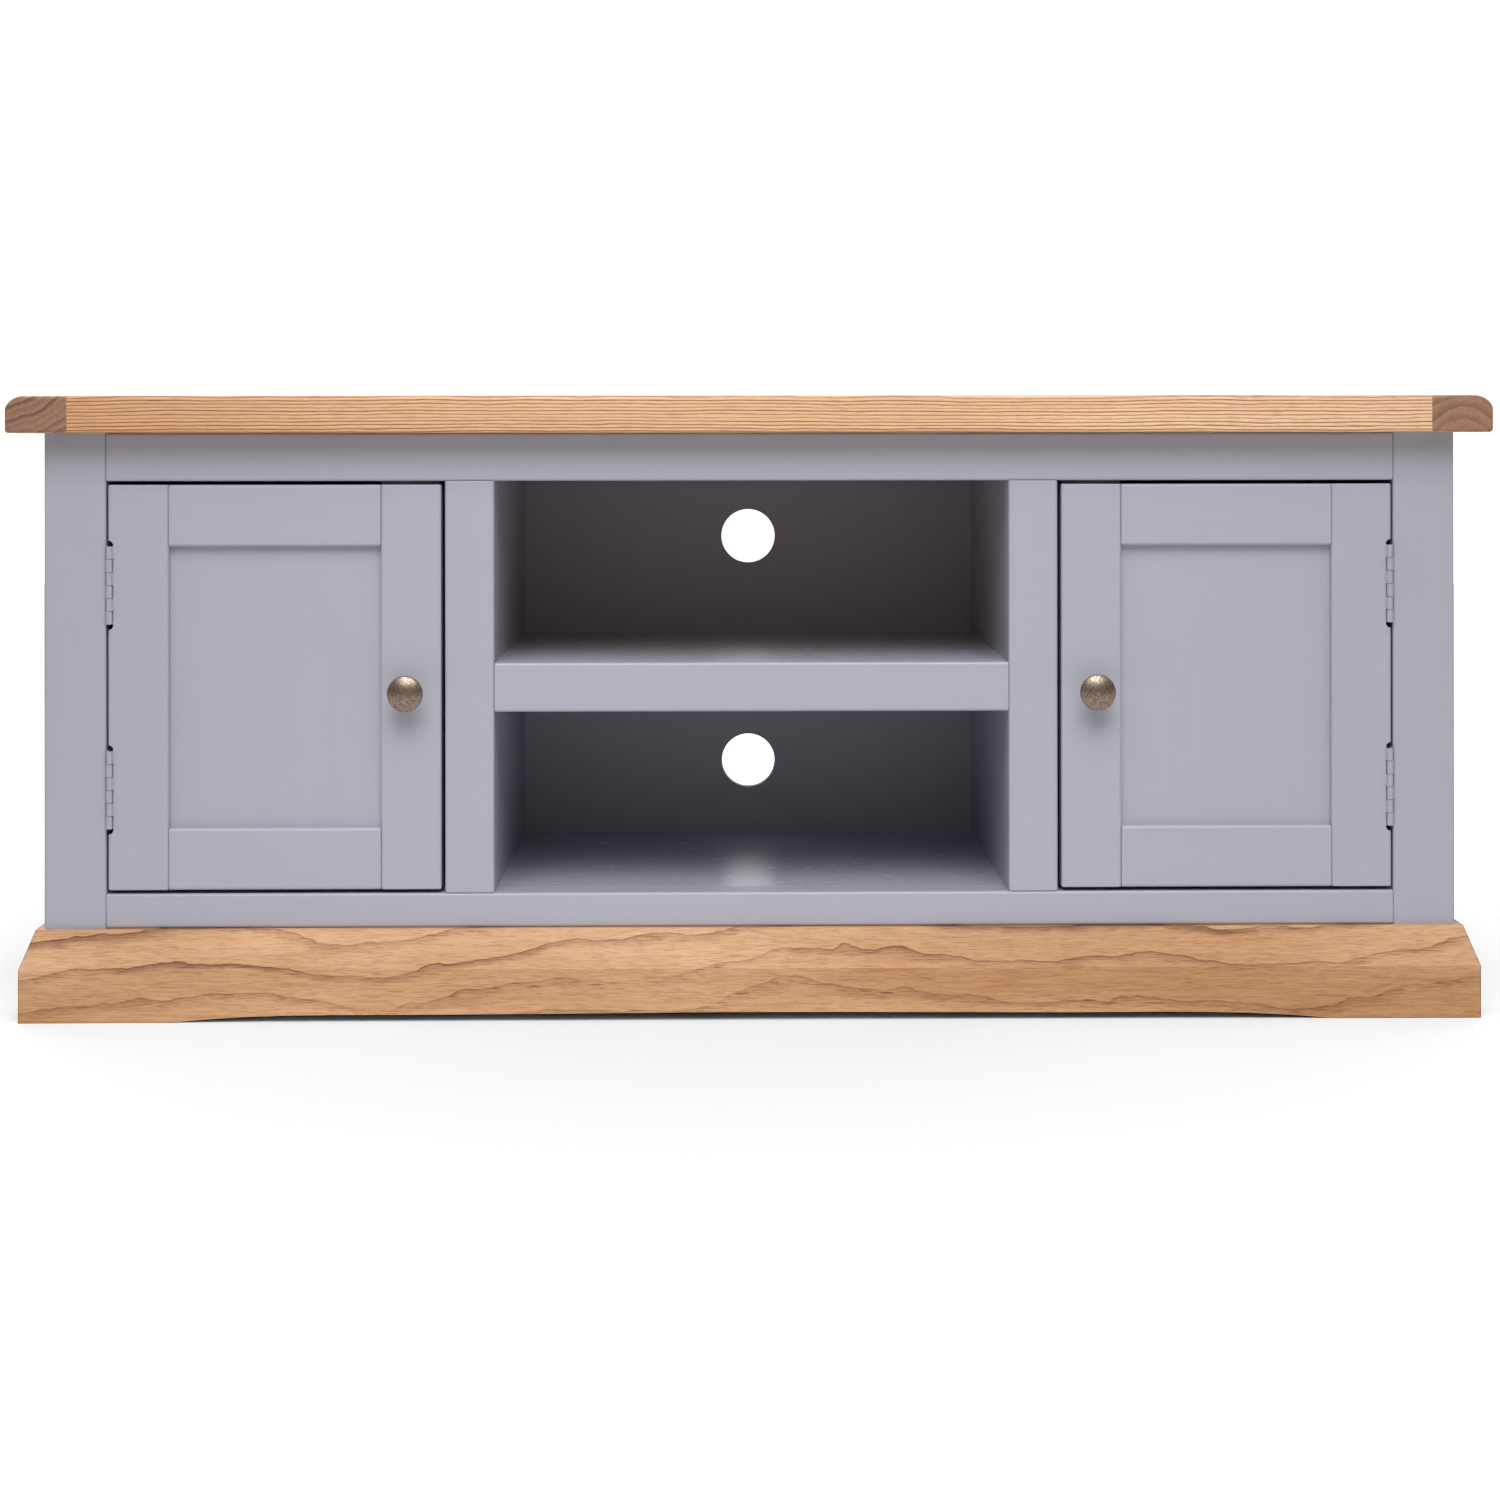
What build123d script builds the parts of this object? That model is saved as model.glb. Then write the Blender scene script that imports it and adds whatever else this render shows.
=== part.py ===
"""A painted media cabinet with an oak top and plinth, two shaker doors and an open centre bay.

Millimetres. X runs across the cabinet, Y from the front to the back and Z up. The origin is on the
floor under the middle of the top. Pieces that come in pairs are built for the left side and
mirrored about X = 0.
"""

import os

from build123d import *

# ---- driving dimensions -------------------------------------------------------------------------
WIDTH, DEPTH, HEIGHT = 1200, 400, 505  # over the top, which is the largest piece in plan
TOP_THICK = 30
END_BOARD = 50  # width of the two boards that cap the top's ends
FRONT_OVERHANG, SIDE_OVERHANG, BACK_OVERHANG = 25, 26, 18
TOP_ROUND = 3  # arris of the top's front, back and underside
END_ROUND = (16, 12)  # the elliptical round-over along the top's two ends, width and height

PLINTH_H, PLINTH_FACE, PLINTH_THICK = 73, 42, 30  # full height, height of its upright face
PLINTH_OUT, PLINTH_LEDGE = 17, 5.5  # how far its foot and its top stand out past the carcass
ARCH_CROWN = 6.8  # rise of the low arch under the front plinth, at its middle
ARCH_SPRING, ARCH_SHOULDER, ARCH_HAUNCH = (470, 0), (420, 3.8), (290, 5.6)  # distance from the middle, rise

POST = 50  # square corner posts
FRAME_THICK = 30  # rails and mid posts of the front frame
MID_POST = 40
BAY_HALF = 209.5  # half the clear width between the mid posts
BOTTOM_RAIL_TOP, TOP_RAIL_BOTTOM = 101, 436
SHELF_RAIL = (248, 288)  # bottom and top of the shelf's front rail
SIDE_RAIL, SIDE_THICK = 50, 22
TENON, TENON_INSET, TENON_THICK = 15, 5, 10
STUB = 10  # short tenons of the mid posts and the shelf rail
PANEL_GROOVE, SIDE_PANEL = 8, 7

BOARD = 18  # partitions, floor and shelf
DADO = 6
BACK_THICK, REBATE = 6, 9.5
INNER_DEPTH = 350  # from the front frame's face to the back panel
CABLE_R = 25
CABLE_Z = (169, 379)

EASE, END_EASE = 2.5, 1.2  # rounded arrises along and across the painted members

DOOR_THICK = 20
HINGE_GAP, LATCH_GAP, DOOR_GAP = 1.5, 3, 3  # door to post, to mid post, and to the rails
STILE, DOOR_RAIL = 49, 50
DOOR_GROOVE, DOOR_PANEL, PANEL_RECESS = 10, 6, 7

HINGE_LENGTH, HINGE_SPREAD = 63.5, 83  # the hinges stand this far above and below mid door
KNUCKLE_R, KNUCKLES, KNUCKLE_GAP = 2.4, 6, 0.5
LEAF_THICK, LEAF_GAP, LEAF_WIDTH = 1.5, 2.9, 16  # gap between the leaves of a closed hinge
PIN_R, PIN_FIT, PIN_RUN = 1.2, 0.01, 0.06  # radial clearance in the fixed and the moving leaf
AXIS_FORWARD = 1  # how far the pin stands in front of the door's face
NOTCH_LENGTH, NOTCH_ROUND = 72.5, 3.9  # the recess in the door's edge that takes each hinge

KNOB_R, KNOB_OUT = 14.5, 24
KNOB_INSET, KNOB_DROP = 27.4, 4  # from the door's latch edge, and below its middle
BOLT_R, BOLT_LENGTH = 2, 32

SMALL_SCREW = (2.8, 1.4, 1.4, 14)  # head radius, head height, shank radius, length
LARGE_SCREW = (4.0, 3.0, 2.0, 38)
SLIP = 0.05  # radial play between a fastener and its hole

CATCH_X = 280  # centre of the magnetic catch, near the door's latch edge
CATCH_BODY = (28, 14, 12)
CATCH_EAR, EAR_THICK = 24, 3
STRIKE = (30, 1.2, 10)
CATCH_PLAY = 0.2

# ---- places worked out from them ------------------------------------------------------------------
TOP_UNDER = HEIGHT - TOP_THICK
FRONT = -DEPTH / 2 + FRONT_OVERHANG
BACK = DEPTH / 2 - BACK_OVERHANG
OUTER = -(WIDTH / 2 - SIDE_OVERHANG)  # left face of the left posts
POST_IN = OUTER + POST
MID_OUT = -(BAY_HALF + MID_POST)
FRAME_BACK = FRONT + FRAME_THICK
POST_BACK = FRONT + POST
REAR_POST = BACK - POST
BACK_PANEL = FRONT + INNER_DEPTH
PARTITION_OUT = -(BAY_HALF + BOARD)
FLOOR_UNDER = BOTTOM_RAIL_TOP - BOARD
REAR_RAIL_Z = TOP_UNDER - 40

DOOR_LEFT, DOOR_RIGHT = POST_IN + HINGE_GAP, MID_OUT - LATCH_GAP
DOOR_LOW, DOOR_HIGH = BOTTOM_RAIL_TOP + DOOR_GAP, TOP_RAIL_BOTTOM - DOOR_GAP
DOOR_BACK = FRONT + DOOR_THICK
DOOR_MID = (DOOR_LOW + DOOR_HIGH) / 2
STILE_IN, LATCH_STILE = DOOR_LEFT + STILE, DOOR_RIGHT - STILE
GROOVE_FRONT = FRONT + PANEL_RECESS
GROOVE_BACK = GROOVE_FRONT + DOOR_PANEL

AXIS_X = POST_IN + LEAF_THICK + LEAF_GAP / 2
AXIS_Y = FRONT - AXIS_FORWARD
HINGE_Z = (DOOR_MID - HINGE_SPREAD, DOOR_MID + HINGE_SPREAD)
LEAF_SCREW_Y = AXIS_Y + 8.5
LEAF_SCREW_Z = 20  # above and below each hinge's middle
KNOB_X = DOOR_RIGHT - KNOB_INSET
KNOB_Z = DOOR_MID - KNOB_DROP
STRIKE_Y = DOOR_BACK + STRIKE[1]
STRIKE_Z = DOOR_HIGH - 6
CATCH_Y = STRIKE_Y + CATCH_PLAY
CATCH_SCREW_Y = CATCH_Y + 5.6
CATCH_SCREW_X = 19

X, Y, Z = Vector(1, 0, 0), Vector(0, 1, 0), Vector(0, 0, 1)

# Where each screw's head lies, shared by the screws and by the holes that take them.
FRAME_LEAF_SCREWS = [
    (POST_IN + LEAF_THICK, LEAF_SCREW_Y, z + dz)
    for z in HINGE_Z
    for dz in (-LEAF_SCREW_Z, LEAF_SCREW_Z)
]
DOOR_LEAF_SCREWS = [(x + LEAF_GAP, y, z) for x, y, z in FRAME_LEAF_SCREWS]
CATCH_SCREWS = [
    (-CATCH_X + dx, CATCH_SCREW_Y, TOP_RAIL_BOTTOM - EAR_THICK)
    for dx in (-CATCH_SCREW_X, CATCH_SCREW_X)
]
STRIKE_SCREW = [(-CATCH_X, STRIKE_Y, STRIKE_Z)]
CLEAT = (22, 20)  # width and height of the cleats that hold the top down
CLEAT_X = OUTER + SIDE_THICK + CLEAT[0] / 2
TOP_SCREWS = [(CLEAT_X, y, TOP_UNDER - CLEAT[1]) for y in (-90, 0, 90)]
BLOCK, BLOCK_THICK = 50, 20  # corner blocks inside the plinth
BLOCK_LEFT = OUTER - PLINTH_OUT + PLINTH_THICK
BLOCK_FRONT = FRONT - PLINTH_OUT + PLINTH_THICK
BLOCK_BACK = BACK - SIDE_THICK
BLOCK_SCREWS = [(BLOCK_LEFT + 19, y, PLINTH_H - BLOCK_THICK) for y in (BLOCK_FRONT + 19, BLOCK_BACK - 14)]
PARTITION_SCREWS = [((PARTITION_OUT - BAY_HALF) / 2, y, FLOOR_UNDER) for y in (-100, 15, 130)]
BACK_SCREWS = (
    [(POST_IN - REBATE / 2, BACK_PANEL + BACK_THICK, z) for z in (110, 225, 340, 450)]
    + [((PARTITION_OUT - BAY_HALF) / 2, BACK_PANEL + BACK_THICK, z) for z in (150, 268, 386)]
    + [(x, BACK_PANEL + BACK_THICK, REAR_RAIL_Z + 20) for x in (-400, -120)]
    + [(x, BACK_PANEL + BACK_THICK, BOTTOM_RAIL_TOP - BOARD / 2) for x in (-400, -120)]
)


# ---- shared operations, for use inside a BuildPart ------------------------------------------------
def block(low, high, mode=Mode.ADD):
    """A square-cornered block between two opposite corners."""
    spans = [abs(b - a) for a, b in zip(low, high)]
    with Locations(tuple((a + b) / 2 for a, b in zip(low, high))):
        Box(*spans, mode=mode)


def pocket(low, high):
    """Cuts a square-cornered pocket between two opposite corners."""
    block(low, high, Mode.SUBTRACT)


def drill(points, direction, radius, depth):
    """Cuts a round hole of that depth from each point."""
    for point in points:
        with Locations(Plane(origin=point, z_dir=direction)):
            Cylinder(radius, depth, align=(Align.CENTER, Align.CENTER, Align.MIN), mode=Mode.SUBTRACT)


def screw_holes(points, direction, size):
    """Cuts the countersunk hole of each screw whose head lies at a point."""
    head_r, head_h, shank_r, length = size
    low = (Align.CENTER, Align.CENTER, Align.MIN)
    for point in points:
        with Locations(Plane(origin=point, z_dir=direction)):
            Cone(head_r + SLIP, shank_r + SLIP, head_h + SLIP, align=low, mode=Mode.SUBTRACT)
            Cylinder(shank_r + SLIP, length + SLIP, align=low, mode=Mode.SUBTRACT)


def screws(points, direction, size):
    """Adds a countersunk cross-head screw at each point, pointing along direction."""
    head_r, head_h, shank_r, length = size
    low = (Align.CENTER, Align.CENTER, Align.MIN)
    for point in points:
        with Locations(Plane(origin=point, z_dir=direction)):
            Cone(head_r, shank_r, head_h, align=low)
            Cylinder(shank_r, length, align=low)
            Box(head_r * 1.1, head_r * 0.25, head_h * 0.6, align=low, mode=Mode.SUBTRACT)
            Box(head_r * 0.25, head_r * 1.1, head_h * 0.6, align=low, mode=Mode.SUBTRACT)


def ease(piece, face, along, ends=True):
    """Rounds the arrises of the outer face, the lowest one on axis face: those that run along the
    piece by EASE, and where ends is true those across its ends by END_EASE."""
    outer = piece.faces().sort_by(face)[0]
    fillet(outer.edges().filter_by(along), EASE)
    if ends:
        caps = piece.faces().filter_by(along)
        fillet(caps.edges().sort_by(face)[:-2], END_EASE)


def mirrored(piece):
    """The right-hand twin of a left-hand piece."""
    with BuildPart() as twin:
        mirror(piece.part, about=Plane.YZ)
    return twin


def both_sides(piece):
    """A left-hand piece and its right-hand twin as one group."""
    with BuildPart() as group:
        add(piece.part)
        mirror(piece.part, about=Plane.YZ)
    return group


def save(piece, name):
    """Writes one finished piece to its own file."""
    piece.part.label = name
    export_step(piece.part, f"parts/{name}.step")


def save_pair(piece, name):
    """Writes a left-hand piece and its right-hand twin. The name holds {} where the side goes."""
    save(piece, name.format("left"))
    save(mirrored(piece), name.format("right"))


# ---- the top --------------------------------------------------------------------------------------
PANEL_END = -WIDTH / 2 + END_BOARD
TONGUE, TONGUE_HALF, TONGUE_STOP = 20, 5, 12
TOP_MID = TOP_UNDER + TOP_THICK / 2
TONGUE_Y = DEPTH / 2 - TONGUE_STOP


def top_panel():
    """The glued-up boards of the top, with a tongue at each end."""
    with BuildPart() as panel:
        block((PANEL_END, -DEPTH / 2, TOP_UNDER), (-PANEL_END, DEPTH / 2, HEIGHT))
        fillet(panel.edges().filter_by(Axis.X), TOP_ROUND)
        for x in (PANEL_END, -PANEL_END):
            block((x - TONGUE, -TONGUE_Y, TOP_MID - TONGUE_HALF), (x + TONGUE, TONGUE_Y, TOP_MID + TONGUE_HALF))
        for side in (1, -1):
            drill([(x * side, y, z + CLEAT[1] - SLIP) for x, y, z in TOP_SCREWS], Z, LARGE_SCREW[2] + SLIP, 19)
    return panel


def top_end():
    """The board that caps the top's left end, its grain running front to back."""
    wide, high = END_ROUND
    x0, x1 = -WIDTH / 2, PANEL_END
    with BuildPart() as cap:
        with BuildSketch(Plane.XZ.offset(-DEPTH / 2)) as section:
            with BuildLine():
                Polyline((x0 + wide, HEIGHT), (x1, HEIGHT), (x1, TOP_UNDER), (x0, TOP_UNDER), (x0, HEIGHT - high))
                EllipticalCenterArc((x0 + wide, HEIGHT - high), wide, high, start_angle=90, arc_size=90)
            make_face()
            fillet(section.vertices().group_by(Axis.Y)[0].sort_by(Axis.X)[0], TOP_ROUND)
        extrude(amount=DEPTH)
        for face in cap.faces().filter_by(Axis.Y):
            fillet(face.edges().sort_by(Axis.X)[:-1], TOP_ROUND)
        pocket((x1 - TONGUE - 1, -TONGUE_Y - 1, TOP_MID - TONGUE_HALF), (x1, TONGUE_Y + 1, TOP_MID + TONGUE_HALF))
    return cap


def top_cleats():
    """Cleats inside the side rails, which the top is screwed to from below."""
    with BuildPart() as cleat:
        x0 = OUTER + SIDE_THICK
        block((x0, POST_BACK, TOP_UNDER - CLEAT[1]), (x0 + CLEAT[0], REAR_POST, TOP_UNDER))
        screw_holes(TOP_SCREWS, Z, LARGE_SCREW)
    return both_sides(cleat)


# ---- the carcass ----------------------------------------------------------------------------------
TENON_Y = (FRONT + 10, FRONT + 10 + TENON_THICK)
SIDE_TENON_X = (OUTER + 7, OUTER + 15)
PANEL_X = (OUTER + 8, OUTER + 8 + SIDE_PANEL)
SIDE_RAILS = ((PLINTH_H, PLINTH_H + SIDE_RAIL), (TOP_UNDER - SIDE_RAIL, TOP_UNDER))


def side_mortises(y0, y1, y_panel):
    """Cuts the mortises of both side rails and the side panel's groove into a corner post."""
    for z0, z1 in SIDE_RAILS:
        pocket((SIDE_TENON_X[0], y0, z0 + TENON_INSET), (SIDE_TENON_X[1], y1, z1 - TENON_INSET))
    pocket(
        (PANEL_X[0], y_panel[0], SIDE_RAILS[0][1] - PANEL_GROOVE),
        (PANEL_X[1], y_panel[1], SIDE_RAILS[1][0] + PANEL_GROOVE),
    )


def front_post():
    with BuildPart() as post:
        block((OUTER, FRONT, PLINTH_H), (POST_IN, POST_BACK, TOP_UNDER))
        ease(post, Axis.Y, Axis.Z, ends=False)
        for z0, z1 in ((PLINTH_H, BOTTOM_RAIL_TOP), (TOP_RAIL_BOTTOM, TOP_UNDER)):
            pocket((POST_IN - TENON, TENON_Y[0], z0 + TENON_INSET), (POST_IN, TENON_Y[1], z1 - TENON_INSET))
        side_mortises(POST_BACK - TENON, POST_BACK, (POST_BACK - PANEL_GROOVE, POST_BACK))
        screw_holes(FRAME_LEAF_SCREWS, -X, SMALL_SCREW)
        screw_holes(BLOCK_SCREWS[:1], Z, LARGE_SCREW)
    return post


def back_post():
    with BuildPart() as post:
        block((OUTER, REAR_POST, PLINTH_H), (POST_IN, BACK, TOP_UNDER))
        pocket((POST_IN - REBATE, BACK_PANEL, PLINTH_H), (POST_IN, BACK, TOP_UNDER))
        side_mortises(REAR_POST, REAR_POST + TENON, (REAR_POST, REAR_POST + PANEL_GROOVE))
        pocket((POST_IN - TENON, BACK_PANEL - 20, REAR_RAIL_Z + TENON_INSET), (POST_IN, BACK_PANEL - 10, TOP_UNDER - TENON_INSET))
        screw_holes(BLOCK_SCREWS[1:], Z, LARGE_SCREW)
        screw_holes(BACK_SCREWS, -Y, SMALL_SCREW)
    return post


def front_rail(z0, z1, mortise):
    """A rail of the front frame between the corner posts. mortise is the height range of the two
    mortises that take the mid posts."""
    with BuildPart() as rail:
        block((POST_IN, FRONT, z0), (-POST_IN, FRAME_BACK, z1))
        ease(rail, Axis.Y, Axis.X)
        block((POST_IN - TENON, TENON_Y[0], z0 + TENON_INSET), (-POST_IN + TENON, TENON_Y[1], z1 - TENON_INSET))
        for side in (1, -1):
            middle = side * (BAY_HALF + MID_POST / 2)
            pocket((middle - STUB, TENON_Y[0], mortise[0]), (middle + STUB, TENON_Y[1], mortise[1]))
            screw_holes([(x * side, y, z) for x, y, z in CATCH_SCREWS], Z, SMALL_SCREW)
    return rail


def mid_post():
    """A post of the front frame between a door and the open bay."""
    middle = -(BAY_HALF + MID_POST / 2)
    with BuildPart() as post:
        block((MID_OUT, FRONT, BOTTOM_RAIL_TOP), (-BAY_HALF, FRAME_BACK, TOP_RAIL_BOTTOM))
        ease(post, Axis.Y, Axis.Z)
        block(
            (middle - STUB, TENON_Y[0], BOTTOM_RAIL_TOP - STUB),
            (middle + STUB, TENON_Y[1], TOP_RAIL_BOTTOM + STUB),
        )
        pocket(
            (-BAY_HALF - STUB, TENON_Y[0], SHELF_RAIL[0] + TENON_INSET),
            (-BAY_HALF, TENON_Y[1], SHELF_RAIL[1] - TENON_INSET),
        )
    return post


def shelf_rail():
    with BuildPart() as rail:
        block((-BAY_HALF, FRONT, SHELF_RAIL[0]), (BAY_HALF, FRAME_BACK, SHELF_RAIL[1]))
        ease(rail, Axis.Y, Axis.X)
        block(
            (-BAY_HALF - STUB, TENON_Y[0], SHELF_RAIL[0] + TENON_INSET),
            (BAY_HALF + STUB, TENON_Y[1], SHELF_RAIL[1] - TENON_INSET),
        )
    return rail


def back_rail():
    """The upper rail behind the bays, which the back panel is screwed to."""
    with BuildPart() as rail:
        block((POST_IN, BACK_PANEL - FRAME_THICK, REAR_RAIL_Z), (-POST_IN, BACK_PANEL, TOP_UNDER))
        block(
            (POST_IN - TENON, BACK_PANEL - 20, REAR_RAIL_Z + TENON_INSET),
            (-POST_IN + TENON, BACK_PANEL - 10, TOP_UNDER - TENON_INSET),
        )
        for side in (1, -1):
            screw_holes([(x * side, y, z) for x, y, z in BACK_SCREWS], -Y, SMALL_SCREW)
    return rail


def side_rail(z0, z1, groove):
    """A rail of the left side frame. groove is the height range of the slot for the side panel."""
    with BuildPart() as rail:
        block((OUTER, POST_BACK, z0), (OUTER + SIDE_THICK, REAR_POST, z1))
        ease(rail, Axis.X, Axis.Y)
        block(
            (SIDE_TENON_X[0], POST_BACK - TENON, z0 + TENON_INSET),
            (SIDE_TENON_X[1], REAR_POST + TENON, z1 - TENON_INSET),
        )
        pocket((PANEL_X[0], POST_BACK - TENON, groove[0]), (PANEL_X[1], REAR_POST + TENON, groove[1]))
    return rail


def side_panel():
    with BuildPart() as panel:
        block(
            (PANEL_X[0], POST_BACK - PANEL_GROOVE, SIDE_RAILS[0][1] - PANEL_GROOVE),
            (PANEL_X[1], REAR_POST + PANEL_GROOVE, SIDE_RAILS[1][0] + PANEL_GROOVE),
        )
    return panel


def partition():
    """The upright board between a cupboard and the open bay."""
    with BuildPart() as board:
        block((PARTITION_OUT, FRAME_BACK, BOTTOM_RAIL_TOP), (-BAY_HALF, BACK_PANEL, TOP_UNDER))
        chamfer(board.faces().sort_by(Axis.Y)[0].edges().sort_by(Axis.X)[-1], 0.8)
        pocket((-BAY_HALF - DADO, FRAME_BACK, SHELF_RAIL[1] - BOARD), (-BAY_HALF, BACK_PANEL, SHELF_RAIL[1]))
        pocket((PARTITION_OUT, BACK_PANEL - FRAME_THICK, REAR_RAIL_Z), (-BAY_HALF, BACK_PANEL, TOP_UNDER))
        screw_holes(PARTITION_SCREWS, Z, LARGE_SCREW)
        screw_holes(BACK_SCREWS, -Y, SMALL_SCREW)
    return board


def shelf_board():
    half = BAY_HALF + DADO
    with BuildPart() as board:
        block((-half, FRAME_BACK, SHELF_RAIL[1] - BOARD), (half, BACK_PANEL, SHELF_RAIL[1]))
        chamfer(board.faces().sort_by(Axis.Y)[0].edges().sort_by(Axis.Z)[-1], 0.8)
    return board


def floor_panel():
    """The cabinet's floor, notched round the four corner posts."""
    edge = OUTER + SIDE_THICK
    with BuildPart() as board:
        block((edge, FRAME_BACK, FLOOR_UNDER), (-edge, BACK_PANEL, BOTTOM_RAIL_TOP))
        chamfer(board.faces().sort_by(Axis.Y)[0].edges().sort_by(Axis.Z)[-1], 0.8)
        for side in (1, -1):
            pocket((edge * side, FRAME_BACK, FLOOR_UNDER), (POST_IN * side, POST_BACK, BOTTOM_RAIL_TOP))
            pocket((edge * side, REAR_POST, FLOOR_UNDER), (POST_IN * side, BACK_PANEL, BOTTOM_RAIL_TOP))
            screw_holes([(x * side, y, z) for x, y, z in PARTITION_SCREWS], Z, LARGE_SCREW)
            screw_holes([(x * side, y, z) for x, y, z in BACK_SCREWS], -Y, SMALL_SCREW)
    return board


def back_panel():
    """The thin back, with a cable hole behind each of the two open bays."""
    half = -POST_IN + REBATE
    with BuildPart() as panel:
        block((-half, BACK_PANEL, PLINTH_H), (half, BACK_PANEL + BACK_THICK, TOP_UNDER))
        drill([(0, BACK_PANEL, z) for z in CABLE_Z], Y, CABLE_R, BACK_THICK)
        for side in (1, -1):
            screw_holes([(x * side, y, z) for x, y, z in BACK_SCREWS], -Y, SMALL_SCREW)
    return panel


# ---- the plinth -----------------------------------------------------------------------------------
FOOT_X, FOOT_Y = OUTER - PLINTH_OUT, FRONT - PLINTH_OUT
MITRE = Plane(origin=(FOOT_X, FOOT_Y, 0), x_dir=(1, 1, 0), z_dir=(1, -1, 0))


# The plinth's section, measured inwards and up from its foot's outer corner.
LEAN = PLINTH_OUT - PLINTH_LEDGE
PLINTH_SECTION = [(0, 0), (0, PLINTH_FACE), (LEAN, PLINTH_H), (PLINTH_THICK, PLINTH_H), (PLINTH_THICK, 0), (0, 0)]


def plinth_front():
    """The front plinth, mitred at both ends, with a low arch cut under it."""
    with BuildPart() as plinth:
        with BuildSketch(Plane(origin=(FOOT_X, FOOT_Y, 0), x_dir=(0, 1, 0), z_dir=(1, 0, 0))):
            with BuildLine():
                Polyline(*PLINTH_SECTION)
            make_face()
        extrude(amount=-2 * FOOT_X)
        split(bisect_by=MITRE, keep=Keep.TOP)
        split(bisect_by=Plane(origin=(-FOOT_X, FOOT_Y, 0), x_dir=(-1, 1, 0), z_dir=(-1, -1, 0)), keep=Keep.TOP)
        with BuildSketch(Plane.XZ.offset(-FOOT_Y)):
            with BuildLine():
                left = [(-x, rise) for x, rise in (ARCH_SPRING, ARCH_SHOULDER, ARCH_HAUNCH)]
                right = [(-x, rise) for x, rise in reversed(left)]
                arch = Spline(*left, (0, ARCH_CROWN), *right)
                Line(arch @ 1, arch @ 0)
            make_face()
        extrude(amount=-PLINTH_THICK, mode=Mode.SUBTRACT)
    return plinth


def plinth_side():
    """The left plinth, mitred to the front one and square at the back."""
    with BuildPart() as plinth:
        with BuildSketch(Plane(origin=(FOOT_X, FOOT_Y, 0), x_dir=(1, 0, 0), z_dir=(0, -1, 0))):
            with BuildLine():
                Polyline(*PLINTH_SECTION)
            make_face()
        extrude(amount=FOOT_Y - BACK)
        split(bisect_by=MITRE, keep=Keep.BOTTOM)
    return plinth


def plinth_back():
    with BuildPart() as plinth:
        block((BLOCK_LEFT, BLOCK_BACK, 0), (-BLOCK_LEFT, BACK, PLINTH_H))
    return plinth


def plinth_corner_blocks():
    """Blocks glued into the plinth's corners and screwed up into the posts."""
    low, high = PLINTH_H - BLOCK_THICK, PLINTH_H
    with BuildPart() as blocks:
        block((BLOCK_LEFT, BLOCK_FRONT, low), (BLOCK_LEFT + BLOCK, BLOCK_FRONT + BLOCK, high))
        block((BLOCK_LEFT, BLOCK_BACK - BLOCK, low), (BLOCK_LEFT + BLOCK, BLOCK_BACK, high))
        chamfer(blocks.edges().filter_by(Axis.Z).group_by(Axis.X)[-1].sort_by(Axis.Y)[1:3], 20)
        screw_holes(BLOCK_SCREWS, Z, LARGE_SCREW)
    return both_sides(blocks)


# ---- the doors ------------------------------------------------------------------------------------
def stile_groove(x0, x1):
    """The slot along a stile's inner edge for the rails' tenons and the panel."""
    pocket((x0, GROOVE_FRONT, DOOR_LOW), (x1, GROOVE_BACK, DOOR_HIGH))


def hinge_stile():
    """The left door's stile by the post, let in for both hinges."""
    recess = AXIS_X + LEAF_GAP / 2 + LEAF_THICK - DOOR_LEFT
    with BuildPart() as stile:
        block((DOOR_LEFT, FRONT, DOOR_LOW), (STILE_IN, DOOR_BACK, DOOR_HIGH))
        ease(stile, Axis.Y, Axis.Z)
        stile_groove(STILE_IN - DOOR_GROOVE, STILE_IN)
        for z in HINGE_Z:
            with BuildSketch(Plane.XZ.offset(-FRONT)) as notch:
                with Locations((DOOR_LEFT, z)):
                    Rectangle(2 * recess, NOTCH_LENGTH)
                fillet(notch.vertices(), NOTCH_ROUND)
            extrude(amount=-DOOR_THICK, mode=Mode.SUBTRACT)
        screw_holes(DOOR_LEAF_SCREWS, X, SMALL_SCREW)
    return stile


def latch_stile():
    """The left door's stile by the mid post, bored for the knob."""
    with BuildPart() as stile:
        block((LATCH_STILE, FRONT, DOOR_LOW), (DOOR_RIGHT, DOOR_BACK, DOOR_HIGH))
        ease(stile, Axis.Y, Axis.Z)
        stile_groove(LATCH_STILE, LATCH_STILE + DOOR_GROOVE)
        drill([(KNOB_X, DOOR_BACK, KNOB_Z)], -Y, BOLT_R + 0.25, DOOR_THICK)
        screw_holes(STRIKE_SCREW, -Y, SMALL_SCREW)
    return stile


def door_rail(z0, z1, groove):
    """A rail of the left door. groove is the height range of the slot for the panel."""
    with BuildPart() as rail:
        block((STILE_IN, FRONT, z0), (LATCH_STILE, DOOR_BACK, z1))
        ease(rail, Axis.Y, Axis.X)
        block((STILE_IN - DOOR_GROOVE, GROOVE_FRONT, z0), (LATCH_STILE + DOOR_GROOVE, GROOVE_BACK, z1))
        pocket((STILE_IN - DOOR_GROOVE, GROOVE_FRONT, groove[0]), (LATCH_STILE + DOOR_GROOVE, GROOVE_BACK, groove[1]))
    return rail


def door_panel():
    tuck = DOOR_GROOVE - 1
    with BuildPart() as panel:
        block(
            (STILE_IN - tuck, GROOVE_FRONT, DOOR_LOW + DOOR_RAIL - tuck),
            (LATCH_STILE + tuck, GROOVE_BACK, DOOR_HIGH - DOOR_RAIL + tuck),
        )
    return panel


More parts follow.
